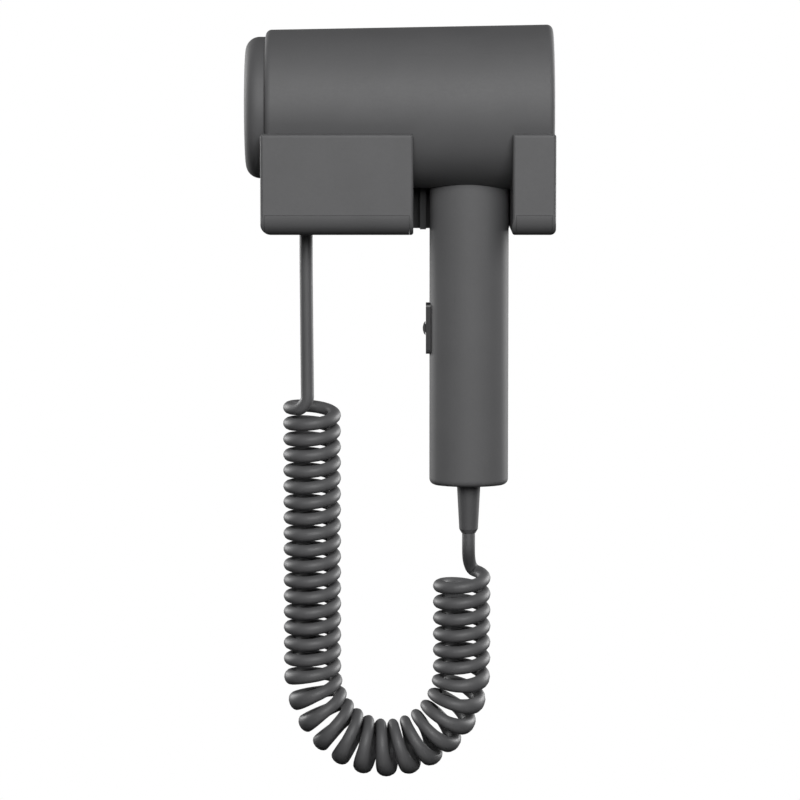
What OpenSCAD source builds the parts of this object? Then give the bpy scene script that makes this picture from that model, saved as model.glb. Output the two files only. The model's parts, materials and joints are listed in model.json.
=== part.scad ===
// Wall holder with a hand-held hair dryer lying in it and a curly supply cord between the two.
// Millimetres, +Z up, the wall is the plane y = 0 and everything stands in front of it at y < 0.
// The origin is the centre of the holder's back on the wall.

/* [Holder] */
// Overall width of the holder
holder_w = 144; // [140:1:152]
// Height of the two cradle blocks
holder_h = 49.5; // [48:0.5:51]
// Depth of the holder from the wall to its front face
holder_d = 95; // [95:1:100]
// Width of the left cradle block
left_block_w = 74.5; // [70:0.5:76]
// Width of the right cradle block
right_block_w = 21.2; // [18:0.1:21.2]
// Wall thickness of the cradle blocks
holder_wall = 3; // [2.5:0.5:3.5]
// Radius of the rounded lower front edge
front_edge_r = 10; // [8:1:11]

/* [Wall plate] */
// Horizontal spacing of the wall screw holes
plate_hole_x = 110; // [100:1:116]
// Vertical spacing of the wall screw holes
plate_hole_z = 24; // [20:1:28]
// Diameter of the wall screw holes
plate_hole_d = 4.5; // [3.5:0.5:5]

/* [Barrel] */
// Length of the barrel casing
barrel_len = 142; // [138:1:142]
// Diameter of the barrel at the air outlet
barrel_d_outlet = 77; // [74:1:79]
// Diameter of the barrel at the air intake
barrel_d_intake = 82; // [80:1:82]
// Wall thickness of the barrel casing
barrel_wall = 2.4; // [2:0.2:3]
// Diameter of the outlet ring
outlet_ring_d = 70; // [68:1:71]
// Length of the outlet ring that stands out of the barrel
outlet_ring_len = 10; // [8:1:12]

/* [Handle] */
// Width of the oval handle along the barrel
handle_d = 39.4; // [38:0.2:39.4]
// Thickness of the oval handle across the barrel
handle_t = 30; // [28:0.5:32]
// Height of the handle's lower end above the origin
handle_bottom_z = -152; // [-156:1:-150]
// Travel of the slide switch to each side
switch_travel = 4; // [3:0.5:4]

/* [Cord] */
// Diameter of the cord
cord_d = 6.5; // [6:0.1:6.5]
// Outer diameter of the curly part
coil_d = 29; // [28:0.2:30]
// Height of the centre line at the bottom of the loop
loop_bottom_z = -286; // [-290:1:-280]

/* [Hidden] */
$fn = 96;

casing = [0.27, 0.27, 0.28];
black = [0.06, 0.06, 0.06];
steel = [0.7, 0.7, 0.72];
mica = [0.85, 0.8, 0.68];
board_green = [0.1, 0.35, 0.2];

fit = 0.2;
eps = 0.01;
half_w = holder_w / 2;
half_h = holder_h / 2;
left_x = [-half_w, -half_w + left_block_w];
right_x = [half_w - right_block_w, half_w];
left_low_r = [5.5, 1.5];
right_low_r = [1.5, 3];
cavity_top_z = -8.5;
cover_inset = 2;
seam = 0.12;
plate_t = 2;
plate_half_h = 20.5;
plate_half_w = half_w - holder_wall;
tab_x = [-20, 61];
tab_y = -9;
tab_w = 12;
tab_z = -half_h + holder_wall + fit;

axis_y = -50;
axis_z = 36.3;
barrel_mid_x = 0.6;
barrel_x = [barrel_mid_x - barrel_len / 2, barrel_mid_x + barrel_len / 2];
outlet_r = barrel_d_outlet / 2;
intake_r = barrel_d_intake / 2;
ring_r = outlet_ring_d / 2;
ring_x = [barrel_x[0] - outlet_ring_len, barrel_x[0] + 5];
trough_gap = 0.6;
motor_r = 14;
shaft_r = 1.5;
fan_x = 48;
fan_r = 30;

handle_x = 30.4;
handle_r = handle_d / 2;
oval_end_r = 12;
oval_end_x = handle_r - oval_end_r;
oval_rise = handle_t / 2 - oval_end_r;
oval_side_y = (oval_end_x * oval_end_x - oval_rise * oval_rise) / (2 * oval_rise);
oval_side_r = oval_side_y + handle_t / 2;
oval_joint_x = oval_end_x * (1 + oval_end_r / (oval_side_y + oval_rise));
handle_wall = 2.5;
switch_z = -73.5;
switch_h = 25.5;
switch_w = 7;
plate_face_x = handle_x - handle_r - 1.8;
stem_h = 4;
relief_len = 24.5;
relief_r = 5.9;

cord_r = cord_d / 2;
cord_sides = 12;
exit_x = -50.5;
exit_y = -61.5;
coil_x = [-48, 27];
coil_top_z = [-108.6, -196];
bend_r = (coil_x[1] - coil_x[0]) / 2;
bend_z = loop_bottom_z + bend_r;
holder_lead_route = [
    [-50.5, -61.5, -12], [-50.5, -61.5, -26], [-50.5, -61.5, -40], [-50.4, -61.5, -54],
    [-50.3, -61.5, -68], [-50.2, -61.5, -82], [-50.1, -61.5, -96], [-50, -61.5, -108.5]
];
dryer_lead_route = [
    [30.4, -50, -146], [30.4, -50, -159], [30.4, -50, -172], [30.4, -50, -182],
    [31, -49.6, -186], [32.6, -48.4, -189.6], [34.2, -47, -192.4], [34.6, -46.6, -194.4],
    [34.6, -46.6, -195.7]
];

// ---------- helpers ----------

// Rectangle from corner a to corner b with its own radius at each corner:
// low left, low right, high right, high left
module rounded_rect(a, b, r) {
    polygon([
        [a[0] + r[0], a[1]], [b[0] - r[1], a[1]], [b[0], a[1] + r[1]], [b[0], b[1] - r[2]],
        [b[0] - r[2], b[1]], [a[0] + r[3], b[1]], [a[0], b[1] - r[3]], [a[0], a[1] + r[0]]
    ]);
    translate([a[0] + r[0], a[1] + r[0]]) circle(r[0], $fn = 48);
    translate([b[0] - r[1], a[1] + r[1]]) circle(r[1], $fn = 48);
    translate([b[0] - r[2], b[1] - r[2]]) circle(r[2], $fn = 48);
    translate([a[0] + r[3], b[1] - r[3]]) circle(r[3], $fn = 48);
}

// Box between two opposite corners
module span(a, b) {
    translate(a) cube(b - a);
}

// Moves the children from the origin's X axis to the barrel's axis
module on_barrel() {
    translate([0, axis_y, axis_z]) children();
}

// Revolves a profile of [radius, x] about the X axis
module about_x() {
    rotate([0, 90, 0]) rotate_extrude($fn = 144) children();
}

// Cylinder along X between two positions
module rod_x(x0, x1, r) {
    translate([x0, 0, 0]) rotate([0, 90, 0]) cylinder(h = x1 - x0, r = r);
}

// Ring along X between two positions
module ring_x(x0, x1, r_out, r_in) {
    difference() {
        rod_x(x0, x1, r_out);
        rod_x(x0 - 1, x1 + 1, r_in);
    }
}

// Barrel's outer cone grown by g, longer than the barrel at both ends
module barrel_space(g) {
    over = 10;
    grow = over * (intake_r - outlet_r) / barrel_len;
    on_barrel() translate([barrel_x[0] - over, 0, 0]) rotate([0, 90, 0])
        cylinder(h = barrel_len + 2 * over, r1 = outlet_r + g - grow, r2 = intake_r + g + grow, $fn = 144);
}

// Tube swept along a route, one ring at each of its points
module swept_cord(route, r) {
    n = len(route);
    rings = [
        for (i = [0:n - 1])
            for (k = [0:cord_sides - 1])
                ring_point(route[i], tangent(route, i), r, k)
    ];
    sides = [
        for (i = [0:n - 2])
            for (k = [0:cord_sides - 1])
                side_quad(i, k)
    ];
    low_cap = [for (k = [0:cord_sides - 1]) k];
    high_cap = [for (k = [cord_sides - 1:-1:0]) (n - 1) * cord_sides + k];
    polyhedron(points = rings, faces = concat(sides, [low_cap, high_cap]), convexity = 4);
}

function unit(v) = v / norm(v);
function tangent(route, i) =
    i == 0 || i == len(route) - 1 ? [0, 0, -1] : unit(route[i + 1] - route[i - 1]);
function ring_point(p, t, r, k) =
    let (u = unit(cross(t, [0, 1, 0])), v = cross(t, u), a = 360 * k / cord_sides)
    p + r * (cos(a) * u + sin(a) * v);
function side_quad(i, k) =
    let (a = i * cord_sides, b = a + cord_sides, next = (k + 1) % cord_sides)
    [a + k, b + k, b + next, a + next];

// ---------- holder ----------

// Rounded block of a cradle between two X positions, with the barrel's trough cut out;
// low_r holds the radii of its two lower corners
module cradle_block(x, low_r) {
    edge = 1.5;
    difference() {
        intersection() {
            prism_x(x[0], x[1])
                rounded_rect([-holder_d, -half_h], [0, half_h], [front_edge_r, eps, eps, edge]);
            rotate([90, 0, 0]) linear_extrude(holder_d)
                rounded_rect([x[0], -half_h], [x[1], half_h], [low_r[0], low_r[1], edge, edge]);
            translate([0, 0, -half_h]) linear_extrude(holder_h)
                rounded_rect([x[0], -holder_d], [x[1], 0], [edge, edge, eps, eps]);
        }
        barrel_space(trough_gap);
        span([-plate_half_w - fit, -plate_t - fit, -plate_half_h - fit],
            [plate_half_w + fit, 1, plate_half_h + fit]);
    }
}

// Prism along X between two positions with a profile of [y, z]
module prism_x(x0, x1) {
    translate([x0, 0, 0]) rotate([90, 0, 90]) linear_extrude(x1 - x0) children();
}

// Profile of the space inside a cradle block
module cavity_profile() {
    rounded_rect([-holder_d + holder_wall, -half_h + holder_wall], [5, cavity_top_z],
        [front_edge_r - holder_wall, eps, eps, 1]);
}

// Room of the base cover: the floor and the rounded lower front edge, grown by g
module cover_room(x, g) {
    prism_x(x[0] + cover_inset - g, x[1] - cover_inset + g) difference() {
        union() {
            translate([-holder_d - 2, -half_h - 2]) square([holder_d + 4, holder_wall + 2 + g]);
            translate([-holder_d - 2, -half_h - 2]) square([front_edge_r + 2, front_edge_r + 2 + g]);
        }
        translate([g, g]) cavity_profile();
    }
}

// Casing of a cradle block, hollow below the trough and open underneath for its cover
module cradle_casing(x, low_r) {
    difference() {
        cradle_block(x, low_r);
        prism_x(x[0] + holder_wall, x[1] - holder_wall) cavity_profile();
        cover_room(x, seam);
    }
}

// Base cover of a cradle block, flush with the casing round it
module base_cover(x, low_r) {
    intersection() {
        cradle_block(x, low_r);
        cover_room(x, 0);
    }
}

// Counterbored hole for a lock screw in the floor of a cradle
module lock_hole(x) {
    translate([x, tab_y, -half_h - 1]) cylinder(h = 6, r = 1.7, $fn = 32);
    translate([x, tab_y, -half_h - 1]) cylinder(h = 2.7, r = 3, $fn = 32);
}

module cradle_left() {
    color(casing) cradle_casing(left_x, left_low_r);
}

module cradle_right() {
    color(casing) cradle_casing(right_x, right_low_r);
}

module base_cover_left() {
    color(casing) difference() {
        base_cover(left_x, left_low_r);
        lock_hole(tab_x[0]);
        translate([exit_x, exit_y, -half_h - 1]) cylinder(h = holder_wall + 2, r = 5, $fn = 48);
    }
}

module base_cover_right() {
    color(casing) difference() {
        base_cover(right_x, right_low_r);
        lock_hole(tab_x[1]);
    }
}

// Black web behind the handle that joins the two blocks, with a rib that stays behind the switch
module rear_bridge() {
    web_t = 3;
    front_y = -31;
    rib_x = [6, 9];
    rib_y = -41;
    x0 = left_x[1] + eps;
    x1 = right_x[0] - eps;
    z0 = -half_h;
    z1 = half_h - 1;
    color(black) difference() {
        union() {
            span([x0, front_y, z0], [x1, front_y + web_t, z1]);
            span([x0, front_y + eps, z0], [x0 + web_t, -plate_t - fit, z1]);
            span([x1 - web_t, front_y + eps, z0], [x1, -plate_t - fit, z1]);
            span([rib_x[0], rib_y, z0], [rib_x[1], front_y + eps, z1]);
        }
        barrel_space(trough_gap);
    }
}

// Folded steel plate that is screwed to the wall
module wall_plate() {
    color(steel) difference() {
        union() {
            span([-plate_half_w, -plate_t, -plate_half_h], [plate_half_w, 0, plate_half_h]);
            for (x = tab_x)
                span([x - tab_w / 2, tab_y - 5, tab_z], [x + tab_w / 2, -plate_t + eps, tab_z + plate_t]);
        }
        for (x = [-1, 1])
            for (z = [-1, 1])
                translate([x * plate_hole_x / 2, 1, z * plate_hole_z / 2]) rotate([90, 0, 0])
                    cylinder(h = plate_t + 2, d = plate_hole_d, $fn = 48);
        for (x = tab_x)
            translate([x, tab_y, -half_h]) cylinder(h = 8, r = 1.55, $fn = 32);
    }
}

module lock_screws() {
    color(steel) for (x = tab_x)
        translate([x, tab_y, -half_h + 0.2]) difference() {
            union() {
                cylinder(h = 1.5, r = 2.75, $fn = 32);
                cylinder(h = 8, r = 1.5, $fn = 32);
            }
            span([-2, -0.4, -1], [2, 0.4, 0.6]);
            span([-0.4, -2, -1], [0.4, 2, 0.6]);
        }
}

// Two-way mains terminal inside the left block
module terminal_block() {
    color(mica) translate([-30, -36, -half_h + holder_wall]) difference() {
        span([-11, -8, 0], [11, 8, 11]);
        for (x = [-5.5, 5.5]) {
            translate([x, 0, 5]) cylinder(h = 7, r = 2.2, $fn = 32);
            translate([x, 9, 4]) rotate([90, 0, 0]) cylinder(h = 18, r = 1.6, $fn = 32);
        }
    }
}

// Clamp that grips the cord inside the left block
module cord_clamp() {
    color(black) translate([exit_x, exit_y, -half_h + holder_wall + 2.2]) difference() {
        span([-10, -6, 0], [10, 6, 10.5]);
        translate([0, 0, -1]) cylinder(h = 9.5, r = cord_r + 0.05, $fn = 48);
        for (x = [-7.5, 7.5])
            translate([x, 0, -1]) cylinder(h = 13, r = 1.2, $fn = 32);
    }
}

module exit_grommet() {
    color(black) translate([exit_x, exit_y, -half_h]) difference() {
        union() {
            cylinder(h = holder_wall, r = 4.95, $fn = 48);
            translate([0, 0, holder_wall]) cylinder(h = 2, r = 6, $fn = 48);
        }
        translate([0, 0, -1]) cylinder(h = 7, r = cord_r + 0.05, $fn = 48);
    }
}

// ---------- dryer ----------

module barrel_shell() {
    edge = 3;
    seat_r = ring_r + 0.15;
    x0 = barrel_x[0];
    x1 = barrel_x[1];
    color(casing) on_barrel() difference() {
        about_x() {
            polygon([
                [0, x0], [outlet_r - edge, x0], [outlet_r, x0 + edge],
                [intake_r, x1 - edge], [intake_r - edge, x1], [0, x1]
            ]);
            translate([outlet_r - edge, x0 + edge]) circle(edge, $fn = 64);
            translate([intake_r - edge, x1 - edge]) circle(edge, $fn = 64);
        }
        about_x() polygon([
            [0, x0 - 1], [seat_r, x0 - 1], [seat_r, x0 + 5.2], [ring_r - 2, x0 + 5.2], [ring_r - 2, x0 + 7],
            [outlet_r - barrel_wall, x0 + 9], [intake_r - barrel_wall, x1 - 8],
            [intake_r - barrel_wall, x1 + 1], [0, x1 + 1]
        ]);
        translate([handle_x, 0, -intake_r - 5]) cylinder(h = 12, r = 9);
    }
}

// Round-edged ring that the hot air leaves through
module outlet_ring() {
    edge = 7;
    mouth_r = ring_r - 8.5;
    x0 = ring_x[0];
    x1 = ring_x[1];
    color(casing) on_barrel() difference() {
        about_x() {
            polygon([[0, x0], [ring_r - edge, x0], [ring_r, x0 + edge], [ring_r, x1], [0, x1]]);
            translate([ring_r - edge, x0 + edge]) circle(edge, $fn = 64);
        }
        about_x() polygon([
            [0, x0 - 1], [mouth_r, x0 - 1], [mouth_r, x0 + 3],
            [ring_r - 3, x0 + 8], [ring_r - 3, x1 + 1], [0, x1 + 1]
        ]);
    }
}

// Concentric rings on radial bars, a grille across an air opening
module grille(x0, x1, r_out, rim, rings, bars) {
    ring_x(x0, x1, r_out, r_out - rim);
    for (i = [1:rings]) {
        r = r_out * i / (rings + 1);
        ring_x(x0, x1, r + 0.6, r - 0.6);
    }
    rod_x(x0, x1, 3);
    for (i = [0:bars - 1])
        rotate([360 * i / bars, 0, 0]) span([x0, -0.6, 1], [x1, 0.6, r_out - 1]);
}

module outlet_grille() {
    color(black) on_barrel() grille(ring_x[1] - 5, ring_x[1] - 3, ring_r - 3.1, 2, 5, 6);
}

module rear_cover() {
    r = intake_r - barrel_wall - 0.15;
    x1 = barrel_x[1] - 0.8;
    color(casing) on_barrel() {
        grille(x1 - 3, x1, r, 5, 7, 8);
        ring_x(x1 - 6, x1 - 3 + eps, r, r - 2);
    }
}

module intake_filter() {
    x1 = barrel_x[1] - 4.1;
    color(steel) on_barrel() rod_x(x1 - 0.8, x1, intake_r - barrel_wall - 2.4);
}

module heater_sleeve() {
    color(mica) on_barrel() ring_x(-58, -4, 31, 30);
}

// Crossed sheets that carry the heating wire
module heater_frame() {
    color(mica) on_barrel() for (turn = [0, 90])
        rotate([turn, 0, 0]) {
            span([-57, -24, -0.5], [-6, 24, 0.5]);
            for (x = [-57, -9])
                span([x, -29.9, -0.5], [x + 3, 29.9, 0.5]);
        }
}

module heater_coil() {
    turns = 11;
    wire_r = 0.7;
    color(steel) on_barrel() for (i = [0:turns - 1])
        translate([-53 + i * 4.2, 0, 0]) rotate([0, 90, 0])
            rotate_extrude($fn = 64) translate([24, 0]) circle(wire_r, $fn = 16);
}

// Duct with vanes that holds the motor in the barrel
module motor_carrier() {
    vanes = 5;
    color(casing) on_barrel() {
        ring_x(2, 62, 34, 32);
        ring_x(-8, 2 + eps, 34, 31.05);
        ring_x(8, 40, motor_r + 2, motor_r + 0.1);
        for (i = [0:vanes - 1])
            rotate([360 * i / vanes, 0, 0]) {
                span([10, -0.8, motor_r + 1.5], [36, 0.8, 32.5]);
                span([4, -1.5, 33.5], [14, 1.5, 37.1]);
            }
    }
}

module motor() {
    color(steel) on_barrel() difference() {
        union() {
            rod_x(6, 40, motor_r);
            rod_x(40, 43, 5);
        }
        rod_x(20, 44, shaft_r + 0.05);
    }
}

module motor_shaft() {
    color(steel) on_barrel() rod_x(21, fan_x + 9, shaft_r);
}

module fan() {
    blades = 9;
    hub_r = 9;
    color(black) on_barrel() difference() {
        union() {
            rod_x(fan_x - 3, fan_x + 7, hub_r);
            for (i = [0:blades - 1])
                rotate([360 * i / blades, 0, 0]) translate([fan_x + 2, 0, hub_r - 1]) rotate([0, 0, 38])
                    span([-6, -0.6, 0], [6, 0.6, fan_r - hub_r]);
        }
        rod_x(fan_x - 4, fan_x + 8, shaft_r);
    }
}

// ---------- handle ----------

// Upright round bar on the handle's axis between two heights
module on_handle(z0, z1, r) {
    translate([handle_x, axis_y, z0]) cylinder(h = z1 - z0, r = r);
}

// Oval of four arcs, shrunk by g all round
module oval(g) {
    joint_x = oval_end_x + (oval_joint_x - oval_end_x) * (oval_end_r - g) / oval_end_r;
    for (x = [-1, 1])
        translate([x * oval_end_x, 0]) circle(oval_end_r - g);
    intersection() {
        translate([0, oval_side_y]) circle(oval_side_r - g);
        translate([0, -oval_side_y]) circle(oval_side_r - g);
        square([2 * joint_x, 2 * handle_t], center = true);
    }
}

// Oval bar on the handle's axis between two heights
module oval_bar(z0, z1, g) {
    translate([handle_x, axis_y, z0]) linear_extrude(z1 - z0) oval(g);
}

// Thin slice of the oval bar
module oval_slice(z, g) {
    oval_bar(z, z + eps, g);
}

module handle_shell() {
    edge = 3;
    top_z = axis_z - 28;
    color(casing) difference() {
        union() {
            oval_bar(handle_bottom_z + edge, top_z, 0);
            hull() for (a = [0:15:90])
                oval_slice(handle_bottom_z + edge * (1 - sin(a)), edge * (1 - cos(a)), $fn = 64);
        }
        oval_bar(handle_bottom_z + handle_wall + 0.5, axis_z, handle_wall);
        on_handle(handle_bottom_z - 1, handle_bottom_z + 5, relief_r + 0.05);
        barrel_space(0.15);
        span([plate_face_x - 1, axis_y - switch_w / 2 - 0.05, switch_z - switch_h / 2 - 0.05],
            [handle_x - 10, axis_y + switch_w / 2 + 0.05, switch_z + switch_h / 2 + 0.05]);
    }
}

module switch_plate() {
    slot_h = stem_h + 2 * switch_travel + 1;
    color(black) difference() {
        translate([plate_face_x, axis_y, switch_z]) rotate([90, 0, 90]) linear_extrude(5.2)
            rounded_rect([-switch_w / 2, -switch_h / 2], [switch_w / 2, switch_h / 2], [2, 2, 2, 2]);
        span([plate_face_x - 1, axis_y - 1.3, switch_z - slot_h / 2],
            [plate_face_x + 6, axis_y + 1.3, switch_z + slot_h / 2]);
    }
}

// Slide button: an arched crown with fine ribs across it, on a stem
module switch_knob() {
    crown_r = 5.6;
    crown_h = 1.15;
    crown_w = 5;
    rib_r = 0.22;
    rib_len = 4.4;
    color(black) translate([plate_face_x - 0.2, axis_y, switch_z]) {
        translate([0, crown_w / 2, 0]) rotate([90, 0, 0]) linear_extrude(crown_w) intersection() {
            translate([crown_r - crown_h, 0]) circle(crown_r);
            translate([-crown_h, -crown_r]) square([crown_h, 2 * crown_r]);
        }
        translate([crown_r - crown_h, 0, 0])
            for (a = [-28:7:28])
                rotate([0, a, 0]) translate([-crown_r, -rib_len / 2, 0]) rotate([-90, 0, 0])
                    cylinder(h = rib_len, r = rib_r, $fn = 16);
        span([-0.3, -1, -stem_h / 2], [6.6, 1, stem_h / 2]);
    }
}

module switch_body() {
    x0 = plate_face_x + 6.6;
    color(casing) span([x0, axis_y - 5.5, switch_z - 13], [x0 + 11, axis_y + 5.5, switch_z + 13]);
}

module control_board() {
    color(board_green) {
        span([handle_x - 0.8, axis_y - 11, -132], [handle_x + 0.8, axis_y + 11, -92]);
        span([handle_x + 0.8 - eps, axis_y - 6, -120], [handle_x + 8, axis_y + 4, -108]);
    }
}

// Tapered relief with a flange inside the handle
module strain_relief() {
    flange_r = 9;
    flange_z = [3.1, 8];
    z0 = handle_bottom_z;
    color(casing) translate([handle_x, axis_y, 0]) rotate_extrude($fn = 96) polygon([
        [cord_r + 0.05, z0 + flange_z[1]], [flange_r, z0 + flange_z[1]], [flange_r, z0 + flange_z[0]],
        [relief_r, z0 + flange_z[0]], [relief_r, z0], [relief_r - 1.2, z0 - relief_len + 2],
        [cord_r + 0.3, z0 - relief_len], [cord_r + 0.05, z0 - relief_len]
    ]);
}

// ---------- cord ----------

module cord_holder_lead() {
    color(casing) swept_cord(holder_lead_route, cord_r);
}

// Outer shape of the curly part: two straight legs and a half round bend
module cord_coil() {
    r = coil_d / 2;
    color(casing) {
        for (i = [0, 1])
            translate([coil_x[i], axis_y, bend_z]) cylinder(h = coil_top_z[i] - bend_z, r = r);
        translate([(coil_x[0] + coil_x[1]) / 2, axis_y, bend_z]) rotate([90, 0, 0]) rotate([0, 0, 180])
            rotate_extrude(angle = 180) translate([bend_r, 0]) circle(r);
    }
}

module cord_dryer_lead() {
    color(casing) swept_cord(dryer_lead_route, cord_r);
}

wall_plate();
cradle_left();
cradle_right();
base_cover_left();
base_cover_right();
rear_bridge();
lock_screws();
terminal_block();
cord_clamp();
exit_grommet();
barrel_shell();
outlet_ring();
outlet_grille();
rear_cover();
intake_filter();
heater_sleeve();
heater_frame();
heater_coil();
motor_carrier();
motor();
motor_shaft();
fan();
handle_shell();
switch_plate();
switch_knob();
switch_body();
control_board();
strain_relief();
cord_holder_lead();
cord_coil();
cord_dryer_lead();
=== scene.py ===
"""Looks of the wall holder, the hair dryer lying in it and the curly cord between them."""
import json
import math

import bmesh
import bpy
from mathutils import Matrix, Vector


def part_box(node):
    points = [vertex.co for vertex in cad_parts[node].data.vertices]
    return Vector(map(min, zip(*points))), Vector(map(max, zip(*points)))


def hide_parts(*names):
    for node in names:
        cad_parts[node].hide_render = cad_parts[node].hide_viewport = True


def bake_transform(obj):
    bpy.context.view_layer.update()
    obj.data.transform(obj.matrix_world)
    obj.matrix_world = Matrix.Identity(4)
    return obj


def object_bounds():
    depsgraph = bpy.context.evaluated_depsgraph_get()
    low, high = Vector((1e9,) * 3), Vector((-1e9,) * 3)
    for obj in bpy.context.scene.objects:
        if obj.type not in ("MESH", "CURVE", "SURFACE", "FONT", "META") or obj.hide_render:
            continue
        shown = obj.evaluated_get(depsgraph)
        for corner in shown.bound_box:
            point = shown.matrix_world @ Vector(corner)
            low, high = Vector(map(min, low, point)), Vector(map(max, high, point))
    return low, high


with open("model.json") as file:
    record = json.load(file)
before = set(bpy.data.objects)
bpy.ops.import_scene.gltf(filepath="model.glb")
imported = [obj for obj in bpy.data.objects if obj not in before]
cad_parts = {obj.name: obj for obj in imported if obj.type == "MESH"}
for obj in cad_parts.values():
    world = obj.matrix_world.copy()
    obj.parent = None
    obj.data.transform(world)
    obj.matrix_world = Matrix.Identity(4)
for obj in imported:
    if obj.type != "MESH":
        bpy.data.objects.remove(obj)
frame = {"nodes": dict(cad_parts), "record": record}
CAD_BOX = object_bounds()
NODES = frame["nodes"]
MM = 0.001

# ---------- places taken from the frame ----------

BARREL_LOW, BARREL_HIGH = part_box("barrel_shell")
AXIS_Y = (BARREL_LOW.y + BARREL_HIGH.y) / 2
COIL_LOW, COIL_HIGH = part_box("cord_coil")
COIL_R = (COIL_HIGH.y - COIL_LOW.y) / 2
LEFT_X = COIL_LOW.x + COIL_R
RIGHT_X = COIL_HIGH.x - COIL_R
BEND_R = (RIGHT_X - LEFT_X) / 2
BEND_X = (RIGHT_X + LEFT_X) / 2
BEND_DROP = 3 * MM
BEND_Z = COIL_LOW.z + COIL_R + BEND_R + BEND_DROP

# ---------- camera ----------

VIEW_WIDTH = 0.4
VIEW_CENTRE = Vector((-0.0040, AXIS_Y, -0.1096))
CAMERA_DISTANCE = 2.0
CAMERA_RISE = math.radians(6)
SENSOR_WIDTH = 36


def make_camera():
    """Long lens in front of the object and a little above it, looking down at it."""
    data = bpy.data.cameras.new("camera")
    data.sensor_width = SENSOR_WIDTH
    data.lens = SENSOR_WIDTH * CAMERA_DISTANCE / VIEW_WIDTH
    camera = bpy.data.objects.new("camera", data)
    bpy.context.scene.collection.objects.link(camera)
    back = Vector((0, -math.cos(CAMERA_RISE), math.sin(CAMERA_RISE)))
    camera.location = VIEW_CENTRE + CAMERA_DISTANCE * back
    camera.rotation_euler = (math.pi / 2 - CAMERA_RISE, 0, 0)
    bpy.context.scene.camera = camera


make_camera()

# ---------- mesh helpers ----------


def new_object(name, bm, smooth=True):
    """Turns a bmesh into a piece of that name."""
    bmesh.ops.recalc_face_normals(bm, faces=bm.faces)
    for face in bm.faces:
        face.smooth = smooth
    mesh = bpy.data.meshes.new(name)
    bm.to_mesh(mesh)
    bm.free()
    piece = bpy.data.objects.new(name, mesh)
    bpy.context.scene.collection.objects.link(piece)
    return piece


def hermite(a, b, ta, tb, count):
    """Points strictly between a and b on a cubic with end tangents ta and tb."""
    points = []
    for i in range(1, count):
        t = i / count
        points.append(
            a * (2 * t**3 - 3 * t**2 + 1) + ta * (t**3 - 2 * t**2 + t)
            + b * (3 * t**2 - 2 * t**3) + tb * (t**3 - t**2)
        )
    return points


def smooth_route(route, per_leg):
    """Catmull-Rom curve through the route's points."""
    points = []
    for i in range(len(route) - 1):
        before, after = route[max(i - 1, 0)], route[min(i + 2, len(route) - 1)]
        a, b = route[i], route[i + 1]
        points.append(a)
        points += hermite(a, b, (b - before) / 2, (after - a) / 2, per_leg)
    return points + [route[-1]]


def tube_rings(path, radius, sides):
    """Rings of a round tube along a path, with a frame that turns as little as it can."""
    count = len(path)
    tangents = [(path[min(i + 1, count - 1)] - path[max(i - 1, 0)]).normalized() for i in range(count)]
    across = tangents[0].orthogonal().normalized()
    angles = [2 * math.pi * k / sides for k in range(sides)]
    rings = []
    for i, centre in enumerate(path):
        if i:
            across = tangents[i - 1].rotation_difference(tangents[i]) @ across
        other = tangents[i].cross(across)
        rings.append([centre + radius * (math.cos(a) * across + math.sin(a) * other) for a in angles])
    return rings


def skin_rings(bm, rings):
    """Closed tube through rings of points."""
    sides = len(rings[0])
    rows = [[bm.verts.new(p) for p in ring] for ring in rings]
    for low, high in zip(rows, rows[1:]):
        for k in range(sides):
            n = (k + 1) % sides
            bm.faces.new((low[k], low[n], high[n], high[k]))
    bm.faces.new(rows[0][::-1])
    bm.faces.new(rows[-1])


# ---------- cord ----------

CORD_D = 6.5 * MM
CORD_SIDES = 16
HELIX_R = COIL_R - CORD_D / 2
TURNS = 35
POINTS_PER_TURN = 28
PITCH_LEFT = 7.93 * MM
PITCH_RIGHT = 8.15 * MM
# Heights at which the full turns begin, under the holder, and end, under the dryer
FIRST_LOBE_Z = -113.3 * MM
LAST_LOBE_Z = -199.3 * MM
# How far the helix goes on past its full turns at each end
LEAD_ANGLE = math.radians(50)
# Rise of a turn from its front to its back, as a part of its depth
LOOP_LEAN = 0.12
# Width of the jacket along the coil's axis, against a round one: how fast it grows outside the bend and
# shrinks inside it, and how wide it is on the straight legs
OUTER_FLARE = 1.45
INNER_FLARE = 0.5
TURN_FLATNESS = 0.96
LEFT_LEN = FIRST_LOBE_Z - BEND_Z
BEND_LEN = math.pi * BEND_R
RIGHT_LEN = LAST_LOBE_Z - BEND_Z
# Routes of the two straight leads, in millimetres
HOLDER_LEAD_ROUTE = [
    (-50.5, -61.5, -12), (-50.5, -61.5, -26), (-50.5, -61.5, -40), (-50.4, -61.5, -54),
    (-50.3, -61.5, -68), (-50.2, -61.5, -82), (-50.1, -61.5, -96), (-50, -61.5, -106.8),
]
DRYER_LEAD_ROUTE = [(30.4, -50, -182), (30.4, -50, -172), (30.4, -50, -159), (30.4, -50, -146)]


def axis_direction(way):
    """Direction of the coil's own axis at a way along it."""
    a = min(max((way - LEFT_LEN) / BEND_R, 0), math.pi)
    return Vector((BEND_R * math.sin(a), 0, -(BEND_R + BEND_DROP) * math.cos(a))).normalized()


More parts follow.
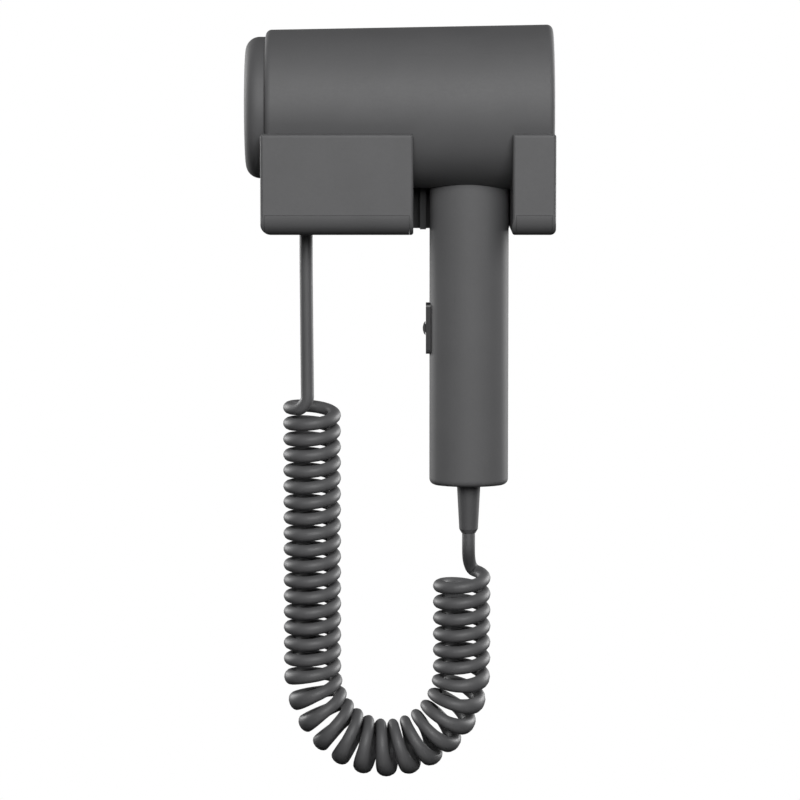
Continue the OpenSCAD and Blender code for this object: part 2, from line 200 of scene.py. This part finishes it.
def hang(point):
    """Takes a point of the straight coil, (outward, depth, way along the axis), to where it hangs."""
    outward, depth, way = point
    if way < LEFT_LEN:
        centre = Vector((LEFT_X, AXIS_Y, FIRST_LOBE_Z - way))
        along = Vector((0, 0, -1))
    elif way < LEFT_LEN + BEND_LEN:
        a = (way - LEFT_LEN) / BEND_R
        centre = Vector((BEND_X - BEND_R * math.cos(a), AXIS_Y, BEND_Z - (BEND_R + BEND_DROP) * math.sin(a)))
        along = axis_direction(way)
    else:
        centre = Vector((RIGHT_X, AXIS_Y, BEND_Z + way - LEFT_LEN - BEND_LEN))
        along = Vector((0, 0, 1))
    side = Vector((0, 1, 0)).cross(along)
    lean = Vector((0, 0, LOOP_LEAN * depth * abs(along.z)))
    return centre + side * outward + Vector((0, depth, 0)) + lean


def bend_stretch(point):
    """Width of the jacket along the coil's axis: a little flat, wider outside the bend, narrower inside."""
    ease = 6 * MM
    into = min((point.z - LEFT_LEN) / ease, (LEFT_LEN + BEND_LEN - point.z) / ease)
    bent = min(max(into, 0), 1)
    flare = OUTER_FLARE if point.x > 0 else INNER_FLARE
    return TURN_FLATNESS + bent * (flare * point.x / BEND_R + 1 - TURN_FLATNESS)


def straight_coil():
    """Helix about a straight axis, its pitch a little longer where the cord bends."""
    left_turns = LEFT_LEN / PITCH_LEFT
    right_turns = RIGHT_LEN / PITCH_RIGHT
    bend_turns = TURNS - left_turns - right_turns
    extra = round(POINTS_PER_TURN * LEAD_ANGLE / (2 * math.pi))
    points = []
    for i in range(-extra, TURNS * POINTS_PER_TURN + extra + 1):
        turn = i / POINTS_PER_TURN
        if turn < left_turns:
            way = turn * PITCH_LEFT
        elif turn < left_turns + bend_turns:
            way = LEFT_LEN + BEND_LEN * (turn - left_turns) / bend_turns
        else:
            way = LEFT_LEN + BEND_LEN + (turn - left_turns - bend_turns) * PITCH_RIGHT
        phase = 2 * math.pi * turn
        points.append(Vector((HELIX_R * math.cos(phase), HELIX_R * math.sin(phase), way)))
    return points


def make_cord():
    """One tube: down from the holder, round the coil, bent after it is wound, and up to the dryer."""
    straight = straight_coil()
    coil = [hang(p) for p in straight]
    start = smooth_route([Vector(p) * MM for p in HOLDER_LEAD_ROUTE], per_leg=4)
    end = smooth_route([Vector(p) * MM for p in DRYER_LEAD_ROUTE], per_leg=4)
    reach_in = 8.5 * MM
    reach_out = 16 * MM
    into_coil = (coil[1] - coil[0]).normalized() * reach_in
    out_of_coil = (coil[-1] - coil[-2]).normalized() * reach_out
    lead_in = hermite(start[-1], coil[0], Vector((0, 0, -reach_in)), into_coil, count=10)
    lead_out = hermite(coil[-1], end[0], out_of_coil, Vector((0, 0, reach_out)), count=12)
    path = start + lead_in + coil + lead_out + end
    rings = tube_rings(path, CORD_D / 2, CORD_SIDES)
    first = len(start) + len(lead_in)
    for i, point in enumerate(straight, first):
        along = axis_direction(point.z)
        spread = bend_stretch(point) - 1
        centre = path[i]
        rings[i] = [p + spread * (p - centre).dot(along) * along for p in rings[i]]
    bm = bmesh.new()
    skin_rings(bm, rings)
    cord = new_object("curly_cord", bm)
    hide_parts("cord_holder_lead", "cord_coil", "cord_dryer_lead")
    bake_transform(cord)
    return cord


CORD = make_cord()

# ---------- materials ----------


def node_material(name):
    """New node material; returns it with its tree and its Principled shader."""
    material = bpy.data.materials.new(name)
    material.use_nodes = True
    tree = material.node_tree
    return material, tree, tree.nodes["Principled BSDF"]


def noise(tree, scale, detail=4, stretch=(1, 1, 1)):
    """Noise texture in object space, where one unit is a metre."""
    coords = tree.nodes.new("ShaderNodeTexCoord")
    mapping = tree.nodes.new("ShaderNodeMapping")
    mapping.inputs["Scale"].default_value = stretch
    texture = tree.nodes.new("ShaderNodeTexNoise")
    texture.inputs["Scale"].default_value = scale
    texture.inputs["Detail"].default_value = detail
    tree.links.new(coords.outputs["Object"], mapping.inputs["Vector"])
    tree.links.new(mapping.outputs["Vector"], texture.inputs["Vector"])
    return texture.outputs["Fac"]


def drive(tree, socket, value, low, high, start=0.3, end=0.7):
    """Drives a socket by a texture, through a ramp between two colours or greys."""
    node = tree.nodes.new("ShaderNodeValToRGB")
    node.color_ramp.elements[0].position = start
    node.color_ramp.elements[1].position = end
    node.color_ramp.elements[0].color = low if isinstance(low, tuple) else (low, low, low, 1)
    node.color_ramp.elements[1].color = high if isinstance(high, tuple) else (high, high, high, 1)
    tree.links.new(value, node.inputs["Fac"])
    tree.links.new(node.outputs["Color"], socket)


def bump(tree, shader, height, strength, distance):
    """Bumps a shader's surface by a texture; distance is in metres."""
    node = tree.nodes.new("ShaderNodeBump")
    node.inputs["Strength"].default_value = strength
    node.inputs["Distance"].default_value = distance
    tree.links.new(height, node.inputs["Height"])
    tree.links.new(node.outputs["Normal"], shader.inputs["Normal"])


def shade(colour, factor):
    """A colour made lighter or darker, with its alpha added."""
    return tuple(c * factor for c in colour) + (1,)


def moulded(name, colour, roughness=0.65, grain=2600, depth=0.00005, specular=0.45, vary=0.04):
    """Spark-eroded moulded plastic: a fine grain, a faint mottle and slightly uneven gloss."""
    gloss_spread = 0.03
    material, tree, shader = node_material(name)
    mottle = noise(tree, scale=45, detail=5)
    drive(tree, shader.inputs["Base Color"], mottle, shade(colour, 1 - vary), shade(colour, 1 + vary))
    gloss = noise(tree, scale=900, detail=2)
    drive(tree, shader.inputs["Roughness"], gloss, roughness - gloss_spread, roughness + gloss_spread)
    shader.inputs["Specular IOR Level"].default_value = specular
    bump(tree, shader, noise(tree, grain, detail=3), strength=0.35, distance=depth)
    return material


def brushed(name, colour, roughness=0.32):
    """Plated or brushed metal with fine drawn lines."""
    material, tree, shader = node_material(name)
    shader.inputs["Metallic"].default_value = 1
    lines = noise(tree, scale=220, detail=6, stretch=(1, 1, 30))
    patches = noise(tree, scale=70)
    drive(tree, shader.inputs["Base Color"], patches, shade(colour, 0.88), shade(colour, 1.08))
    drive(tree, shader.inputs["Roughness"], lines, roughness - 0.06, roughness + 0.12)
    bump(tree, shader, lines, strength=0.2, distance=0.00004)
    return material


def woven_wire(name, colour):
    """Fine woven wire mesh: two crossed wave patterns."""
    wave_scale = 260
    material, tree, shader = node_material(name)
    shader.inputs["Metallic"].default_value = 1
    shader.inputs["Roughness"].default_value = 0.45
    coords = tree.nodes.new("ShaderNodeTexCoord")
    both = tree.nodes.new("ShaderNodeMath")
    both.operation = "MAXIMUM"
    for i, direction in enumerate("YZ"):
        wave = tree.nodes.new("ShaderNodeTexWave")
        wave.bands_direction = direction
        wave.inputs["Scale"].default_value = wave_scale
        tree.links.new(coords.outputs["Object"], wave.inputs["Vector"])
        tree.links.new(wave.outputs["Fac"], both.inputs[i])
    wires = both.outputs[0]
    drive(
        tree, shader.inputs["Base Color"], wires,
        low=shade(colour, 0.05), high=shade(colour, 1.1), start=0.55, end=0.75,
    )
    bump(tree, shader, wires, strength=0.8, distance=0.0003)
    return material


def layered_mica(name, colour):
    """Pressed mica: pale flakes with a soft pearly gloss."""
    flake_scale = 260
    material, tree, shader = node_material(name)
    coords = tree.nodes.new("ShaderNodeTexCoord")
    cells = tree.nodes.new("ShaderNodeTexVoronoi")
    cells.inputs["Scale"].default_value = flake_scale
    tree.links.new(coords.outputs["Object"], cells.inputs["Vector"])
    flakes = cells.outputs["Distance"]
    drive(
        tree, shader.inputs["Base Color"], flakes,
        low=shade(colour, 0.8), high=shade(colour, 1.12), start=0.1, end=0.7,
    )
    shader.inputs["Roughness"].default_value = 0.42
    bump(tree, shader, flakes, strength=0.3, distance=0.0001)
    return material


DARK_GREY = (0.075, 0.075, 0.077)
MATERIALS = {
    "casing": moulded("casing_plastic", DARK_GREY),
    "casing_ring": moulded("ring_plastic", (0.07, 0.07, 0.072)),
    "handle_casing": moulded("handle_plastic", DARK_GREY, roughness=0.66),
    "black_plastic": moulded("black_plastic", (0.016, 0.016, 0.017), roughness=0.6, specular=0.25),
    "switch_black": moulded(
        "switch_plastic", (0.014, 0.014, 0.015), roughness=0.42, grain=3200, depth=0.00003,
    ),
    "cream_plastic": moulded("terminal_plastic", (0.72, 0.66, 0.52), roughness=0.45),
    "black_rubber": moulded(
        "grommet_rubber", (0.03, 0.03, 0.031), roughness=0.7, grain=1800, specular=0.3,
    ),
    "relief_rubber": moulded(
        "relief_rubber", (0.06, 0.06, 0.062), roughness=0.6, grain=1800, specular=0.35,
    ),
    "cord_jacket": moulded(
        "cord_rubber", (0.072, 0.072, 0.074), roughness=0.54, grain=1500, depth=0.00004, specular=0.38,
    ),
    "zinc_steel": brushed("zinc_plated_steel", (0.62, 0.62, 0.64)),
    "filter_mesh": woven_wire("filter_mesh", (0.4, 0.4, 0.41)),
    "heater_wire": brushed("resistance_wire", (0.45, 0.42, 0.4), roughness=0.4),
    "mica": layered_mica("mica_sheet", (0.72, 0.64, 0.48)),
    "board_green": moulded("circuit_board", (0.03, 0.2, 0.08), roughness=0.3, grain=900, vary=0.2),
}


def finish_with(piece, slot):
    """Gives a piece the material of a slot as its only one."""
    piece.data.materials.clear()
    piece.data.materials.append(MATERIALS[slot])


def finish_nodes():
    """Gives every CAD node the material of its slot."""
    for part in frame["record"]["subparts"]:
        finish_with(NODES[part["node"]], part["material_slot"])


finish_nodes()
finish_with(CORD, "cord_jacket")

# ---------- stage and light ----------

FLOOR_DROP = 0.9
FLOOR_HALF = 2.2
AMBIENT_STRENGTH = 0.26


def make_floor():
    """Pale floor well below the object, which hangs on a wall."""
    bm = bmesh.new()
    bmesh.ops.create_grid(bm, x_segments=1, y_segments=1, size=FLOOR_HALF)
    floor = new_object("floor", bm, smooth=False)
    floor.location.z = CAD_BOX[0][2] - FLOOR_DROP
    material, tree, shader = node_material("floor_paint")
    drive(tree, shader.inputs["Base Color"], noise(tree, scale=3), low=0.86, high=0.9)
    shader.inputs["Roughness"].default_value = 0.8
    floor.data.materials.append(material)
    floor.visible_diffuse = False
    floor.visible_glossy = False


def area_light(name, place, target, size, power):
    """Round light at a place, turned towards its target."""
    data = bpy.data.lights.new(name, "AREA")
    data.shape = "DISK"
    data.size = size
    data.energy = power
    light = bpy.data.objects.new(name, data)
    bpy.context.scene.collection.objects.link(light)
    light.location = place
    light.rotation_euler = (Vector(target) - Vector(place)).to_track_quat("-Z", "Y").to_euler()


def make_world():
    """White backdrop for the camera, and a soft grey light on the object that is brighter from above."""
    world = bpy.data.worlds.new("studio")
    world.use_nodes = True
    bpy.context.scene.world = world
    tree = world.node_tree
    tree.nodes.clear()
    out = tree.nodes.new("ShaderNodeOutputWorld")
    mix = tree.nodes.new("ShaderNodeMixShader")
    rays = tree.nodes.new("ShaderNodeLightPath")
    ambient = tree.nodes.new("ShaderNodeBackground")
    ambient.inputs["Strength"].default_value = AMBIENT_STRENGTH
    coords = tree.nodes.new("ShaderNodeTexCoord")
    height = tree.nodes.new("ShaderNodeSeparateXYZ")
    tree.links.new(coords.outputs["Generated"], height.inputs["Vector"])
    drive(tree, ambient.inputs["Color"], height.outputs["Z"], low=0.08, high=0.55, start=0, end=0.7)
    backdrop = tree.nodes.new("ShaderNodeBackground")
    backdrop.inputs["Color"].default_value = (1, 1, 1, 1)
    tree.links.new(rays.outputs["Is Camera Ray"], mix.inputs["Fac"])
    tree.links.new(ambient.outputs[0], mix.inputs[1])
    tree.links.new(backdrop.outputs[0], mix.inputs[2])
    tree.links.new(mix.outputs[0], out.inputs["Surface"])


make_floor()
make_world()
area_light("key", place=(0.2, -2.0, 0.88), target=(0, AXIS_Y, -0.05), size=1.3, power=58)
area_light("low", place=(0, -1.0, -1.4), target=(0, AXIS_Y, -0.1), size=1.2, power=4.5)
area_light("back_left", place=(-1.3, 0.9, 0.2), target=(0, AXIS_Y, -0.1), size=0.9, power=26)
area_light("back_right", place=(1.3, 0.9, 0.2), target=(0, AXIS_Y, -0.1), size=0.9, power=32)
bpy.context.scene.view_settings.view_transform = "Standard"
